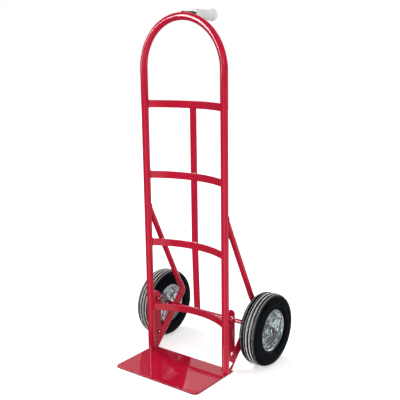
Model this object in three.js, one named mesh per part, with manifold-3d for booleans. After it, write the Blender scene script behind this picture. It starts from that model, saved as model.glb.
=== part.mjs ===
// Two-wheeled hand truck: a loop frame of bent tube with bowed crossbars, a flat
// toe plate, a braced axle, two solid rubber tyred wheels and one rear pin handle.
//
// Millimetres, +Z up. The origin is on the underside of the toe plate, on the centre
// line and directly below the frame's legs. -Y is the front, where the load stands,
// and +Y is the rear, where the wheels and the handle are. +X is the right-hand side.

import * as THREE from 'three';
import { mergeVertices } from 'three/addons/utils/BufferGeometryUtils.js';
import Module from 'manifold-3d';

const wasm = await Module();
wasm.setup();

// ---------------------------------------------------------------- driving dimensions

const FIT = 0.3; // clearance left where two separate pieces meet
const RUNNING_FIT = 0.35; // clearance of the pieces that sit round the axle

// loop frame: one tube bent to an inverted U
const TUBE_D = 25.4;
const TUBE_WALL = 2;
const LEG_SPACING = 330.2; // leg centre to leg centre
const SPRING_Z = 1018.4; // height where the legs turn into the half-round crown

// crossbars: flat bars standing on edge, bowed to the rear
const BAR_HEIGHT = 25.4;
const BAR_THICK = 5;
const BAR_BOW = 48.5; // bow of the three upper bars, measured on the leg centres
const LOW_BAR_BOW = 55.5; // bow of the lowest bar
const BARS = [
  { name: 'crossbar_1', z: 900, bow: BAR_BOW },
  { name: 'crossbar_2', z: 656.5, bow: BAR_BOW },
  { name: 'crossbar_3', z: 413, bow: BAR_BOW },
  { name: 'crossbar_4', z: 169, bow: LOW_BAR_BOW },
];

// centre strap: flat bar welded behind the crossbars
const STRAP_WIDTH = 25.4;
const STRAP_THICK = 5;

// toe plate
const PLATE_WIDTH = 355.6;
const PLATE_THICK = 5;
const PLATE_FRONT_Y = -182;
const PLATE_REAR_Y = 27;
const PLATE_CORNER_R = 20;

// side plates: gussets in the plane of the legs
const GUSSET_THICK = 5;
const GUSSET_HOLE_R = 7.5;
const GUSSET_HOLES = [[36, 190], [36, 60]];
const GUSSET_TOP_Z = 221;
const GUSSET_REAR_Y = 53;

// braces: tube above the knee, flattened below it
const BRACE_TUBE_D = 20.2;
const BRACE_WALL = 2;
const BRACE_TOP = [10.4, 531.8]; // y, z on the leg
const KNEE = [179.3, 188.5];
const KNEE_DISC = [181.5, 179.5]; // centre of the half-flattened bend
const KNEE_DISC_R = 14;
const KNEE_THICK = 15;
const KNEE_SOLID = 33; // length of tube above the knee that is pressed shut
const FLAT_THICK = 9;
const FLAT_CHAMFER = 2.5;
const FOOT_THICK = 5;
const FOOT_TOP_Z = 50; // the foot is pressed thinner below this height

// axle and wheels
const AXLE_D = 15.9;
const AXLE_Y = 153.6;
const WHEEL_R = 127;
const WHEEL_X = 229.6; // mid-plane of each wheel
const TYRE_HALF_W = 37.2;
const AXLE_HALF = 259.2;
const SHEET = 1.6; // rim sheet thickness
const HUB_R = 13.5;
const HUB_BORE_R = 11.3;
const HUB_INNER = -17; // ends of the hub tube, from the wheel's mid-plane
const HUB_OUTER = 22;
const BUSH_FLANGE = 1.7;
const BUSH_LENGTH = 14;
const WASHER_R = 12.5;
const WASHER_THICK = 1.6;
const RING_R = 12.2;
const RING_THICK = 2.2;
const RIVET_COUNT = 4;
const RIVET_CIRCLE_R = 44;
const RIVET_SHANK_R = 2.6;
const RIVET_HEAD_R = 5;

// rear handle
const HANDLE_Z = 1190.5;
const HANDLE_TUBE_D = 19;
const HANDLE_WALL = 1.8;
const HANDLE_START_Y = 9; // inside the crown, where the cope cuts it off
const HANDLE_END_Y = 164;
const GRIP_FRONT_Y = 66;
const GRIP_END_Y = 170;
const GRIP_R = 17;
const GRIP_FLANGE_R = 20.5;

// facets round each kind of round piece
const TUBE_FACETS = 16;
const WHEEL_FACETS = 32;
const RIM_FACETS = 24;
const SMALL_FACETS = 16;
const RIVET_FACETS = 8;

const LEG_X = LEG_SPACING / 2;
const CROWN_STEPS = 20;

// ------------------------------------------------------------------------ materials

const material = (name, color, roughness, metalness) =>
  new THREE.MeshStandardMaterial({ name, color, roughness, metalness });

const redPaint = material('red_paint', 0xc0203c, 0.2, 0);
const rubber = material('rubber', 0x17181a, 0.6, 0);
const zinc = material('zinc', 0xb4bcc6, 0.3, 0.9);
const darkSteel = material('dark_steel', 0x3a3432, 0.45, 0.8);
const greyVinyl = material('grey_vinyl', 0xc8c8ca, 0.5, 0);
const nylon = material('nylon', 0x1c1c1e, 0.5, 0);

// -------------------------------------------------------------------------- helpers

function toSolid(geometry) {
  const bare = geometry.clone();
  bare.deleteAttribute('normal');
  bare.deleteAttribute('uv');
  const merged = mergeVertices(bare);
  const mesh = new wasm.Mesh({
    numProp: 3,
    vertProperties: new Float32Array(merged.attributes.position.array),
    triVerts: new Uint32Array(merged.index.array),
  });
  return new wasm.Manifold(mesh);
}

function toGeometry(solid) {
  const mesh = solid.getMesh();
  const geometry = new THREE.BufferGeometry();
  geometry.setAttribute('position', new THREE.BufferAttribute(mesh.vertProperties, 3));
  geometry.setIndex(new THREE.BufferAttribute(mesh.triVerts, 1));
  geometry.computeVertexNormals();
  return geometry;
}

function cut(geometry, ...tools) {
  let solid = toSolid(geometry);
  for (const tool of tools) solid = solid.subtract(toSolid(tool));
  return toGeometry(solid);
}

function join(...geometries) {
  const [first, ...rest] = geometries.map(toSolid);
  return toGeometry(rest.reduce((sum, solid) => sum.add(solid), first));
}

function outline(points) {
  return new THREE.Shape(points.map(([x, y]) => new THREE.Vector2(x, y)));
}

// a ring or, with no bore, a disc
function ringShape(radius, bore = 0) {
  const shape = new THREE.Shape().absarc(0, 0, radius, 0, 2 * Math.PI);
  if (bore > 0) shape.holes.push(new THREE.Path().absarc(0, 0, bore, 0, 2 * Math.PI));
  return shape;
}

function extrude(shape, depth, facets = TUBE_FACETS) {
  return new THREE.ExtrudeGeometry(shape, { depth, bevelEnabled: false, curveSegments: facets / 2 });
}

// turns a drawing's X and Y into the object's Y and Z
const TO_SIDE_VIEW = new THREE.Matrix4().makeBasis(
  new THREE.Vector3(0, 1, 0),
  new THREE.Vector3(0, 0, 1),
  new THREE.Vector3(1, 0, 0),
);

// extrusion of an outline drawn in the Y-Z plane, centred on x
function sidePlate(shape, thickness, x, facets) {
  return extrude(shape, thickness, facets).applyMatrix4(TO_SIDE_VIEW).translate(x - thickness / 2, 0, 0);
}

// straight round bar or tube between two points
function bar(from, to, radius, bore = 0, facets = TUBE_FACETS) {
  const start = new THREE.Vector3(...from);
  const along = new THREE.Vector3(...to).sub(start);
  const turn = new THREE.Quaternion().setFromUnitVectors(
    new THREE.Vector3(0, 0, 1),
    along.clone().normalize(),
  );
  return extrude(ringShape(radius, bore), along.length(), facets)
    .applyQuaternion(turn)
    .translate(start.x, start.y, start.z);
}

// piece turned about the X axis: profile points are [radius, x], counter-clockwise
function turned(profile, facets) {
  const points = profile.map(([r, x]) => new THREE.Vector2(r, x));
  return new THREE.LatheGeometry(points, facets).rotateZ(-Math.PI / 2);
}

// turned ring of rectangular section
function turnedRing(radius, bore, x0, x1, facets = SMALL_FACETS) {
  return turned([[bore, x0], [radius, x0], [radius, x1], [bore, x1], [bore, x0]], facets);
}

const mirrored = (profile) => profile.map(([r, x]) => [r, -x]).reverse();

function place(parent, name, geometry, finish) {
  const mesh = new THREE.Mesh(geometry, finish);
  mesh.name = name;
  parent.add(mesh);
  return mesh;
}

// --------------------------------------------------------------------- loop frame

// Centre line of the loop: a leg, the half-round crown and the other leg. Each leg
// takes one step of the sweep and the crown takes the steps between.
class LoopPath extends THREE.Curve {
  constructor(footZ) {
    super();
    this.footZ = footZ;
  }

  getUtoTmapping(u) {
    return u;
  }

  crownAngle(t) {
    const step = t * (CROWN_STEPS + 2) - 1;
    return Math.PI * THREE.MathUtils.clamp(step / CROWN_STEPS, 0, 1);
  }

  getPoint(t, target = new THREE.Vector3()) {
    const angle = this.crownAngle(t);
    const step = t * (CROWN_STEPS + 2);
    const drop = Math.max(1 - step, step - CROWN_STEPS - 1, 0) * (SPRING_Z - this.footZ);
    const z = SPRING_Z + LEG_X * Math.sin(angle) - drop;
    return target.set(-LEG_X * Math.cos(angle), 0, z);
  }

  getTangent(t, target = new THREE.Vector3()) {
    const angle = this.crownAngle(t);
    return target.set(Math.sin(angle), 0, Math.cos(angle));
  }
}

function sweepLoop(radius, bore, footZ) {
  return new THREE.ExtrudeGeometry(ringShape(radius, bore), {
    extrudePath: new LoopPath(footZ),
    steps: CROWN_STEPS + 2,
    curveSegments: TUBE_FACETS / 2,
  });
}

const loopGeometry = sweepLoop(TUBE_D / 2, TUBE_D / 2 - TUBE_WALL, PLATE_THICK + FIT);
const loopEnvelope = sweepLoop(TUBE_D / 2 + FIT, 0, 0); // cuts the ends that meet the loop

// ----------------------------------------------------------------------- crossbars

function crossbar({ z, bow }) {
  const radius = (LEG_X ** 2 + bow ** 2) / (2 * bow);
  const centreY = bow - radius;
  const outer = radius + BAR_THICK / 2;
  const inner = radius - BAR_THICK / 2;
  const reach = LEG_X - TUBE_D / 4; // inside the leg, where the cope cuts the end off
  const start = Math.acos(reach / radius);
  const shape = new THREE.Shape();
  shape.absarc(0, centreY, outer, start, Math.PI - start, false);
  shape.absarc(0, centreY, inner, Math.PI - start, start, true);
  return cut(extrude(shape, BAR_HEIGHT).translate(0, 0, z - BAR_HEIGHT / 2), loopEnvelope);
}

// -------------------------------------------------------------------- centre strap

function centreStrap() {
  const [top, , third, low] = BARS;
  const upperY = top.bow + BAR_THICK / 2 + FIT;
  const lowerY = low.bow + BAR_THICK / 2 + FIT;
  const front = [
    [upperY, top.z + BAR_HEIGHT / 2],
    [upperY, third.z - BAR_HEIGHT / 2],
    [lowerY, low.z + BAR_HEIGHT / 2],
    [lowerY, low.z - BAR_HEIGHT / 2],
  ];
  const rear = front.map(([y, z]) => [y + STRAP_THICK, z]).reverse();
  return sidePlate(outline([...front, ...rear]), STRAP_WIDTH, 0);
}

// ----------------------------------------------------------------------- toe plate

function toePlate() {
  const half = PLATE_WIDTH / 2;
  const r = PLATE_CORNER_R;
  const shape = new THREE.Shape();
  shape.moveTo(-half, PLATE_REAR_Y);
  shape.lineTo(-half, PLATE_FRONT_Y + r);
  shape.absarc(-half + r, PLATE_FRONT_Y + r, r, Math.PI, 1.5 * Math.PI);
  shape.absarc(half - r, PLATE_FRONT_Y + r, r, 1.5 * Math.PI, 2 * Math.PI);
  shape.lineTo(half, PLATE_REAR_Y);
  return extrude(shape, PLATE_THICK, 8);
}

// --------------------------------------------------------------------- side plates

// The lower front corner is cut away on the right-hand plate. On the left-hand one it
// runs down to the toe plate, in front of the brace's foot.
function gusset(side) {
  const legRear = TUBE_D / 2 + FIT;
  const fullCorner = [[legRear, PLATE_THICK + FIT], [23.6, PLATE_THICK + FIT], [30.4, 15.6], [44.7, 21.1]];
  const cutCorner = [[legRear, 44.5], [44.6, 21.5]];
  const shape = outline([
    ...(side < 0 ? fullCorner : cutCorner),
    [48.5, 45],
    [GUSSET_REAR_Y, 70],
    [GUSSET_REAR_Y, GUSSET_TOP_Z - 15],
    [36, GUSSET_TOP_Z],
    [legRear, GUSSET_TOP_Z],
  ]);
  for (const [y, z] of GUSSET_HOLES) {
    shape.holes.push(new THREE.Path().absarc(y, z, GUSSET_HOLE_R, 0, 2 * Math.PI));
  }
  return sidePlate(shape, GUSSET_THICK, side * LEG_X, 12);
}

// -------------------------------------------------------------------------- braces

// Flattened leg of the brace: pressed edges from the knee down to the side plate.
function flatLeg(x) {
  const shape = outline([
    [166.5, 193],
    [169.2, 186],
    [54, 70.7],
    [50, FOOT_TOP_Z],
    [82, FOOT_TOP_Z],
    [190, 161],
    [196, 169.5],
    [196.3, 176],
    [193.5, 182.5],
  ]);
  const depth = FLAT_THICK - 2 * FLAT_CHAMFER;
  return new THREE.ExtrudeGeometry(shape, {
    depth,
    bevelThickness: FLAT_CHAMFER,
    bevelSize: FLAT_CHAMFER,
    bevelOffset: -FLAT_CHAMFER,
    bevelSegments: 1,
  }).applyMatrix4(TO_SIDE_VIEW).translate(x - depth / 2, 0, 0);
}

// Foot of the brace, welded on the rear edge of the toe plate.
function braceFoot(x) {
  const bottom = PLATE_THICK + FIT;
  const shape = outline([
    [50.9, FOOT_TOP_Z + 4],
    [49.2, 45],
    [45.3, 20.6],
    [31, 15],
    [24.4, bottom],
    [38.5, bottom],
    [85.9, FOOT_TOP_Z + 4],
  ]);
  return sidePlate(shape, FOOT_THICK, x);
}

function brace(side) {
  const x = side * LEG_X;
  const top = new THREE.Vector3(x, ...BRACE_TOP);
  const knee = new THREE.Vector3(x, ...KNEE);
  const disc = sidePlate(ringShape(KNEE_DISC_R), KNEE_THICK, 0).translate(x, ...KNEE_DISC);
  const tube = bar(top, knee, BRACE_TUBE_D / 2);
  const whole = join(tube, disc, flatLeg(x), braceFoot(x));
  const boreEnd = knee.clone().lerp(top, KNEE_SOLID / knee.distanceTo(top));
  const bore = bar(top, boreEnd, BRACE_TUBE_D / 2 - BRACE_WALL);
  const axleSeat = bar(
    [x - KNEE_THICK, AXLE_Y, WHEEL_R],
    [x + KNEE_THICK, AXLE_Y, WHEEL_R],
    AXLE_D / 2 + FIT,
  );
  return cut(whole, bore, axleSeat, loopEnvelope);
}

// ------------------------------------------------------------------ axle and wheels

function axle() {
  const radius = AXLE_D / 2;
  return turned([[0, -AXLE_HALF], [radius, -AXLE_HALF], [radius, AXLE_HALF], [0, AXLE_HALF]], SMALL_FACETS);
}

// Tyre section. The tread is nearly flat, the sidewall upright, and the bead sits in
// the curl of the rim's lip.
function tyre() {
  const half = [
    [68.4, 22],
    [69.6, 24.2],
    [73.4, 26],
    [73.4, 29],
    [77, 33.4],
    [85, TYRE_HALF_W],
    [98, TYRE_HALF_W],
    [114, 34.6],
    [120.2, 31.4],
    [125.3, 23.2],
    [WHEEL_R, 12],
  ];
  const upper = [...half].reverse();
  const lower = half.map(([r, x]) => [r, -x]);
  return turned([...lower, ...upper, lower[0]], WHEEL_FACETS);
}

// Outer rim half: a collar on the hub, a dish down to the flat ring that is riveted
// to the other half, and a barrel that ends in the lip.
const RIM_OUTER_FACE = [
  [HUB_R + FIT, 16.5],
  [20, 15.8],
  [31, 6],
  [36, 1.9],
  [51, 1.9],
  [60, 7],
  [65.2, 11.5],
  [66.4, 22],
  [67.6, 25.6],
  [72.6, 27.8],
];
const RIM_BACK_FACE = [
  [HUB_R + FIT, 16.5 - SHEET],
  [19.3, 14.3],
  [30.2, 4.6],
  [35.4, FIT / 2],
  [51.4, FIT / 2],
  [60.9, 5.6],
  [66.7, 10.6],
  [68, 21.8],
  [69, 24.5],
  [72.9, 26.2],
];

function rivetPosition(index) {
  const angle = Math.PI / 4 + (index * 2 * Math.PI) / RIVET_COUNT;
  return [0, RIVET_CIRCLE_R * Math.cos(angle), RIVET_CIRCLE_R * Math.sin(angle)];
}

function rimHalf(outer) {
  const section = [...RIM_BACK_FACE, ...[...RIM_OUTER_FACE].reverse(), RIM_BACK_FACE[0]];
  const disc = turned(outer ? section : mirrored(section), RIM_FACETS);
  const holes = [];
  for (let i = 0; i < RIVET_COUNT; i += 1) {
    const [, y, z] = rivetPosition(i);
    holes.push(bar([-5, y, z], [5, y, z], RIVET_SHANK_R + FIT, 0, RIVET_FACETS));
  }
  return cut(disc, ...holes);
}

function rivet() {
  const seat = RIM_OUTER_FACE[3][1] + FIT;
  const half = [
    [RIVET_SHANK_R, seat],
    [RIVET_HEAD_R, seat],
    [RIVET_HEAD_R * 0.7, seat + 2.2],
    [0, seat + 2.6],
  ];
  const lower = half.map(([r, x]) => [r, -x]).reverse();
  return turned([...lower, ...half], RIVET_FACETS);
}

// plain bearing bush: the flange is at x = 0 and the body runs to -x
function bush() {
  const bore = AXLE_D / 2 + RUNNING_FIT;
  return turned([
    [bore, -BUSH_LENGTH],
    [HUB_BORE_R - FIT, -BUSH_LENGTH],
    [HUB_BORE_R - FIT, FIT],
    [WASHER_R, FIT],
    [WASHER_R, FIT + BUSH_FLANGE],
    [bore, FIT + BUSH_FLANGE],
    [bore, -BUSH_LENGTH],
  ], SMALL_FACETS);
}

// Turning pieces of one wheel, built with the outer side towards +X.
function wheel(side) {
  const group = new THREE.Group();
  const tag = side > 0 ? 'right' : 'left';
  place(group, `tyre_${tag}`, tyre(), rubber);
  place(group, `rim_outer_${tag}`, rimHalf(true), zinc);
  place(group, `rim_inner_${tag}`, rimHalf(false), zinc);
  place(group, `hub_tube_${tag}`, turnedRing(HUB_R, HUB_BORE_R, HUB_INNER, HUB_OUTER), zinc);
  place(group, `bush_outer_${tag}`, bush(), nylon).position.x = HUB_OUTER;
  const innerBush = place(group, `bush_inner_${tag}`, bush(), nylon);
  innerBush.position.x = HUB_INNER;
  innerBush.rotation.z = Math.PI;
  for (let i = 0; i < RIVET_COUNT; i += 1) {
    place(group, `rim_rivet_${i + 1}_${tag}`, rivet(), zinc).position.set(...rivetPosition(i));
  }
  return group;
}

// Washers and push-on rings that keep the wheel on the axle.
function wheelRetainers(side) {
  const group = new THREE.Group();
  const tag = side > 0 ? 'right' : 'left';
  const bore = AXLE_D / 2 + RUNNING_FIT;
  const flange = 2 * FIT + BUSH_FLANGE;
  const ends = [['outer', HUB_OUTER + flange, 1], ['inner', HUB_INNER - flange, -1]];
  for (const [end, face, away] of ends) {
    const washer = turnedRing(WASHER_R, bore, 0, WASHER_THICK);
    const ring = turnedRing(RING_R, bore, 0, RING_THICK);
    const washerX = away > 0 ? face : face - WASHER_THICK;
    const ringX = away > 0 ? face + WASHER_THICK + FIT : face - WASHER_THICK - FIT - RING_THICK;
    place(group, `washer_${end}_${tag}`, washer, zinc).position.x = washerX;
    place(group, `retaining_ring_${end}_${tag}`, ring, zinc).position.x = ringX;
  }
  return group;
}

// --------------------------------------------------------------------- rear handle

function handleTube() {
  const radius = HANDLE_TUBE_D / 2;
  const start = [0, HANDLE_START_Y, HANDLE_Z];
  const end = [0, HANDLE_END_Y, HANDLE_Z];
  return cut(bar(start, end, radius, radius - HANDLE_WALL), loopEnvelope);
}

// moulded sleeve, closed at the rear, with shallow finger rings and an end flange
function handleGrip() {
  const bore = HANDLE_TUBE_D / 2 + FIT;
  const rings = 4;
  const bodyEnd = GRIP_END_Y - 9;
  const pitch = (bodyEnd - GRIP_FRONT_Y) / rings;
  const points = [[bore, GRIP_FRONT_Y], [GRIP_R, GRIP_FRONT_Y]];
  for (let i = 0; i < rings; i += 1) {
    const start = GRIP_FRONT_Y + i * pitch;
    points.push([GRIP_R - 1.2, start + pitch * 0.5], [GRIP_R + 1, start + pitch]);
  }
  points.push([GRIP_FLANGE_R, bodyEnd + 2], [GRIP_FLANGE_R, GRIP_END_Y - 3]);
  points.push([GRIP_FLANGE_R - 3, GRIP_END_Y], [0, GRIP_END_Y]);
  points.push([0, HANDLE_END_Y + FIT], [bore, HANDLE_END_Y + FIT], [bore, GRIP_FRONT_Y]);
  return points;
}

// ------------------------------------------------------------------------ assembly

const handTruck = new THREE.Group();

place(handTruck, 'loop_frame', loopGeometry, redPaint);
for (const spec of BARS) place(handTruck, spec.name, crossbar(spec), redPaint);
place(handTruck, 'centre_strap', centreStrap(), redPaint);
place(handTruck, 'toe_plate', toePlate(), redPaint);
place(handTruck, 'axle', axle(), redPaint).position.set(0, AXLE_Y, WHEEL_R);
place(handTruck, 'handle_tube', handleTube(), darkSteel);

const grip = place(handTruck, 'handle_grip', turned(handleGrip(), SMALL_FACETS), greyVinyl);
grip.rotation.z = Math.PI / 2;
grip.position.z = HANDLE_Z;

for (const side of [-1, 1]) {
  const tag = side > 0 ? 'right' : 'left';
  place(handTruck, `side_plate_${tag}`, gusset(side), redPaint);
  place(handTruck, `brace_${tag}`, brace(side), redPaint);
  for (const group of [wheel(side), wheelRetainers(side)]) {
    group.position.set(side * WHEEL_X, AXLE_Y, WHEEL_R);
    if (side < 0) group.rotation.z = Math.PI;
    handTruck.add(group);
  }
}

export default handTruck;
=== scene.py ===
"""A two-wheeled hand truck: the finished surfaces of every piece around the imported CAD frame.

Metres, +Z up, -Y to the front, +X to the right-hand wheel, in the CAD model's own frame.
"""

import math
import random

import bmesh
import bpy
from mathutils import Euler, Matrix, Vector
from mathutils.geometry import tessellate_polygon


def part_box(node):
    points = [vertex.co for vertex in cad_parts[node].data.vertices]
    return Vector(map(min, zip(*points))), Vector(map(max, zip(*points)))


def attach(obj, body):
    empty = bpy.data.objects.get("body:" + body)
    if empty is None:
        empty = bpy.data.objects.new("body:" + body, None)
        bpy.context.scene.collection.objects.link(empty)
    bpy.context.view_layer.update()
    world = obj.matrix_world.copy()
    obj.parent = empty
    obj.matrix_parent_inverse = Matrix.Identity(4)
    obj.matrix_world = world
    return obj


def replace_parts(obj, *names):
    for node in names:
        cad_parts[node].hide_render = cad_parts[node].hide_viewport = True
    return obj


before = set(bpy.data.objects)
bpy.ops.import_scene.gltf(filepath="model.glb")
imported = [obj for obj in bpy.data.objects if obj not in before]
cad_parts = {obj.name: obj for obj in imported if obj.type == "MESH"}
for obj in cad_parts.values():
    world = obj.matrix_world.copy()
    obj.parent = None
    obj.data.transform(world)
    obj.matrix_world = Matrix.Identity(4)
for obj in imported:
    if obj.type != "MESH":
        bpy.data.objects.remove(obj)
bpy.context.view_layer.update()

MM = 0.001
SIDES = {"left": -1, "right": 1}
rng = random.Random(7)

# ------------------------------------------------------------- sizes taken from the frame

loop_lo, loop_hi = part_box("loop_frame")
TUBE_R = (loop_hi.y - loop_lo.y) / 2
LEG_X = loop_hi.x - TUBE_R
SPRING_Z = loop_hi.z - TUBE_R - LEG_X

plate_lo, plate_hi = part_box("toe_plate")
PLATE_TOP = plate_hi.z

axle_lo, axle_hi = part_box("axle")
AXLE_R = (axle_hi.z - axle_lo.z) / 2
AXLE_Y = (axle_hi.y + axle_lo.y) / 2
AXLE_Z = (axle_hi.z + axle_lo.z) / 2

tyre_lo, tyre_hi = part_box("tyre_right")
WHEEL_X = (tyre_lo.x + tyre_hi.x) / 2
WHEEL_R = (tyre_hi.z - tyre_lo.z) / 2 - 0.01 * MM  # a hair inside the CAD tyre

handle_lo, handle_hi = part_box("handle_tube")
HANDLE_R = (handle_hi.x - handle_lo.x) / 2
HANDLE_Z = (handle_hi.z + handle_lo.z) / 2

grip_lo, grip_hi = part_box("handle_grip")
FLANGE_R = (grip_hi.z - grip_lo.z) / 2

gusset_lo, gusset_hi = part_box("side_plate_left")
GUSSET_THICK = gusset_hi.x - gusset_lo.x

# ------------------------------------------------------------------- sizes of fine detail

BAR_THICK = 5 * MM
BAR_EDGE_R = 0.7 * MM  # rolled edge of the flat bars
PLATE_CORNER_R = 20 * MM
PLATE_EDGE_R = 0.9 * MM
GUSSET_EDGE_R = 0.6 * MM
GUSSET_HOLE_R = 7.5 * MM
BRACE_R = 10.1 * MM
HANDLE_WALL = 1.8 * MM
GRIP_R = 17 * MM
POLE = 0.01 * MM  # radius that closes a turned piece on its own line
FIT = 0.3 * MM  # clearance between separate pieces of a wheel
RUNNING_FIT = 0.35 * MM  # clearance of what sits round the axle
HUB_R = 13.5 * MM
HUB_BORE_R = 11.3 * MM
BUSH_FLANGE = 1.7 * MM
RING_DOME = 1.1 * MM  # how far a retaining ring's face drops to its edge
RIVET_SHANK_R = 2.6 * MM
RIVET_HEAD_R = 5 * MM
TREAD_GROOVES = (0, 12.5)  # distance of each groove from the tyre's middle, mm
SHOULDER_NOTCHES = 140

# ---------------------------------------------------------------------- mesh construction


def add_mesh(name, parts, material, body, sharp_deg=40, flat_faces=False, accent=None):
    """Links one object made of (verts, faces) parts, smooth shaded and riding on a body.
    accent is a second material and a test that tells which face numbers wear it."""
    verts, faces = merge(parts)
    mesh = bpy.data.meshes.new(name)
    mesh.from_pydata([tuple(v) for v in verts], [], faces)
    mesh.materials.append(material)
    if accent:
        mesh.materials.append(accent[0])
        for polygon in mesh.polygons:
            polygon.material_index = int(accent[1](polygon.index))
    work = bmesh.new()
    work.from_mesh(mesh)
    bmesh.ops.remove_doubles(work, verts=work.verts, dist=1e-6)
    bmesh.ops.recalc_face_normals(work, faces=work.faces)
    work.to_mesh(mesh)
    work.free()
    mesh.shade_smooth()
    mesh.set_sharp_from_angle(angle=math.radians(sharp_deg))
    obj = bpy.data.objects.new(name, mesh)
    bpy.context.scene.collection.objects.link(obj)
    if flat_faces:
        weighted = obj.modifiers.new("flat_face_normals", "WEIGHTED_NORMAL")
        weighted.keep_sharp = True
    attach(obj, body)
    return obj


def merge(parts):
    """Joins several (verts, faces) pairs into one pair."""
    verts, faces = [], []
    for part_verts, part_faces in parts:
        base = len(verts)
        verts.extend(part_verts)
        faces.extend(tuple(base + i for i in face) for face in part_faces)
    return verts, faces


def loft(rings, closed=False, caps=True):
    """Skin over rings of equal length, each a closed list of points."""
    count = len(rings[0])
    verts = [p for ring in rings for p in ring]
    faces = []
    spans = len(rings) if closed else len(rings) - 1
    for i in range(spans):
        a = i * count
        b = ((i + 1) % len(rings)) * count
        for j in range(count):
            k = (j + 1) % count
            faces.append((a + j, a + k, b + k, b + j))
    if caps and not closed:
        faces.append(tuple(reversed(range(count))))
        last = (len(rings) - 1) * count
        faces.append(tuple(range(last, last + count)))
    return verts, faces


def circle(radius, count):
    """Points (u, v) of a circle about the origin, counter-clockwise."""
    return [(radius * math.cos(2 * math.pi * i / count), radius * math.sin(2 * math.pi * i / count))
            for i in range(count)]


def bezier(start, middle, end, steps):
    """Quadratic curve that rounds one bend."""
    return [start * (1 - t) ** 2 + middle * (2 * t * (1 - t)) + end * t ** 2
            for t in (k / steps for k in range(steps + 1))]


def round_corners(outline, radius, steps=4):
    """Closed outline with its corners rounded; radius is one value or one per corner."""
    points = []
    for i, corner in enumerate(outline):
        here = Vector(corner)
        back = Vector(outline[i - 1]) - here
        ahead = Vector(outline[(i + 1) % len(outline)]) - here
        wanted = radius[i] if isinstance(radius, (list, tuple)) else radius
        half_angle = max(back.angle(ahead) / 2, 0.05)
        reach = min(wanted / math.tan(half_angle), 0.48 * back.length, 0.48 * ahead.length)
        if reach < 1e-6:
            points.append(here)
            continue
        start = here + back.normalized() * reach
        end = here + ahead.normalized() * reach
        points += bezier(start, here, end, steps)
    return points


def rounded_rect(width, height, corner, steps=4):
    """Outline of a rounded rectangle centred on the origin, counter-clockwise."""
    points = []
    for cx, cy, start in ((1, 1, 0), (-1, 1, 90), (-1, -1, 180), (1, -1, 270)):
        for i in range(steps + 1):
            angle = math.radians(start + 90 * i / steps)
            points.append((cx * (width / 2 - corner) + corner * math.cos(angle),
                           cy * (height / 2 - corner) + corner * math.sin(angle)))
    return points


def spline(points, steps):
    """Catmull-Rom curve through points of any dimension, with its ends kept."""
    size = len(points[0])
    curve = []
    for i in range(len(points) - 1):
        p0, p1 = points[max(i - 1, 0)], points[i]
        p2, p3 = points[i + 1], points[min(i + 2, len(points) - 1)]
        for k in range(steps):
            t = k / steps
            curve.append(tuple(
                0.5 * (2 * p1[d] + (p2[d] - p0[d]) * t
                       + (2 * p0[d] - 5 * p1[d] + 4 * p2[d] - p3[d]) * t ** 2
                       + (3 * p1[d] - p0[d] - 3 * p2[d] + p3[d]) * t ** 3)
                for d in range(size)))
    curve.append(tuple(points[-1]))
    return curve


def arc(centre, radius, start_deg, end_deg, steps):
    """Points (u, v) of an arc in a plane."""
    angles = [math.radians(start_deg + (end_deg - start_deg) * i / steps) for i in range(steps + 1)]
    return [(centre[0] + radius * math.cos(a), centre[1] + radius * math.sin(a)) for a in angles]


def sweep(path, outline, reference):
    """Skin of an outline carried along a path, with the outline's v axis near the reference."""
    rings = []
    last = len(path) - 1
    for i, point in enumerate(path):
        tangent = (path[min(i + 1, last)] - path[max(i - 1, 0)]).normalized()
        across = tangent.cross(reference).normalized()
        up = across.cross(tangent)
        rings.append([point + across * u + up * v for u, v in outline])
    return loft(rings)


def inset(outline, distance):
    """Moves a closed outline to the left of its own direction, with mitred corners."""
    moved = []
    for i, here in enumerate(outline):
        before = (here - outline[i - 1]).normalized()
        after = (outline[(i + 1) % len(outline)] - here).normalized()
        left = Vector((-before.y, before.x))
        normal = (left + Vector((-after.y, after.x))).normalized()
        moved.append(here + normal * (distance / max(normal.dot(left), 0.4)))
    return moved


def plate(outlines, thickness, edge, place, steps=3):
    """Flat plate with rounded edges. The first outline is the rim, counter-clockwise, and
    the others are holes, clockwise. place turns (u, v, w) into a point."""
    turns = [math.pi / 2 * i / steps for i in range(steps + 1)]
    front = [(edge * (1 - math.sin(a)), thickness / 2 - edge * (1 - math.cos(a))) for a in turns]
    section = front + [(depth, -w) for depth, w in reversed(front)]
    parts = []
    faces_of_front = []
    for outline in outlines:
        loop = [Vector(p) for p in outline]
        rings = [[place(p.x, p.y, w) for p in inset(loop, depth)] for depth, w in section]
        parts.append(loft(rings, caps=False))
        faces_of_front.append([p.to_3d() for p in inset(loop, edge)])
    triangles = tessellate_polygon(faces_of_front)
    flat = [p for loop in faces_of_front for p in loop]
    for w in (thickness / 2, -thickness / 2):
        parts.append(([place(p.x, p.y, w) for p in flat], [tuple(t) for t in triangles]))
    return merge(parts)


def side_view(x):
    """Places an outline drawn in Y and Z on a plane of constant X."""
    return lambda y, z, w: Vector((x + w, y, z))


def turned(profile, count, x=0, side=1, shape=None):
    """Closed profile of (radius, offset) turned about the axle's line. shape may change the
    radius and offset of the profile's point j at an angle."""
    rings = []
    for i in range(count):
        angle = 2 * math.pi * i / count
        ring = []
        for j, (r, offset) in enumerate(profile):
            if shape:
                r, offset = shape(r, offset, angle, j)
            y = AXLE_Y + r * math.cos(angle)
            z = AXLE_Z + r * math.sin(angle)
            ring.append(Vector((x + side * offset, y, z)))
        rings.append(ring)
    return loft(rings, closed=True)


def refine(outline, step):
    """Closed outline with points added so that none are further apart than a step."""
    points = []
    for i, start in enumerate(outline):
        a = Vector(start)
        b = Vector(outline[(i + 1) % len(outline)])
        count = max(1, math.ceil((b - a).length / step))
        points += [tuple(a.lerp(b, k / count)) for k in range(count)]
    return points


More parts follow.
